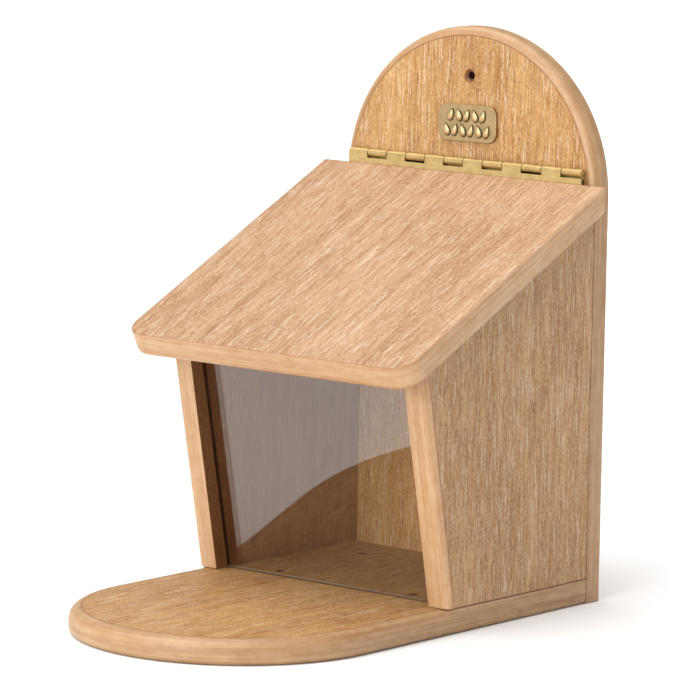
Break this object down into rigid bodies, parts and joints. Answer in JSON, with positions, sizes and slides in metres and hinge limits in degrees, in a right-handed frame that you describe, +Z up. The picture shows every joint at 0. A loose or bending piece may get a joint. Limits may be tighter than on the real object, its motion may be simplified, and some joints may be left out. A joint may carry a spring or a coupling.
{
  "type": "bird feeder box",
  "caption": "Box feeder with an arched back panel, hinged sloping lid, clear front window in grooves and a round-ended landing tray.",
  "frame": {"origin": "middle of the underside, at floor level", "axes": "+X across to the right, -Y towards the tray and window, +Z up"},
  "size_m": [0.1842, 0.2728, 0.2907],
  "materials": {
    "board": "wood-grain recycled lumber board, brushed faces and smooth milled edges",
    "hinge_brass": "dull brass-plated steel",
    "plate_brass": "antique brass, darkened in the hollows",
    "clear_acrylic": "clear acrylic sheet",
    "screw_steel": "plain stainless"
  },
  "bodies": {
    "box": {"back_panel": "board", "base_board": "board", "side_panel_left": "board", "side_panel_right": "board", "hinge_back_leaf": "hinge_brass", "hinge_pin": "hinge_brass", "name_plate": "plate_brass", "side_screw_left_lower": "screw_steel", "side_screw_left_upper": "screw_steel", "base_screw_left": "screw_steel", "under_screw_left_rear": "screw_steel", "under_screw_left_front": "screw_steel", "side_screw_right_lower": "screw_steel", "side_screw_right_upper": "screw_steel", "base_screw_right": "screw_steel", "under_screw_right_rear": "screw_steel", "under_screw_right_front": "screw_steel", "back_leaf_screw_1": "hinge_brass", "back_leaf_screw_2": "hinge_brass", "back_leaf_screw_3": "hinge_brass"},
    "lid": {"roof_panel": "board", "hinge_roof_leaf": "hinge_brass", "roof_leaf_screw_1": "hinge_brass", "roof_leaf_screw_2": "hinge_brass", "roof_leaf_screw_3": "hinge_brass"},
    "window": {"front_window": "clear_acrylic"}
  },
  "joints": [
    {"name": "lid_hinge", "type": "hinge", "parent": "box", "child": "lid", "pos_m": [0, 0.1212, 0.22088], "axis": [-1, 0, 0], "range_deg": [0, 121]},
    {"name": "window_slide", "type": "slide", "parent": "box", "child": "window", "axis": [0, -0.1942, 0.981], "range_m": [0, 0.003]}
  ]
}
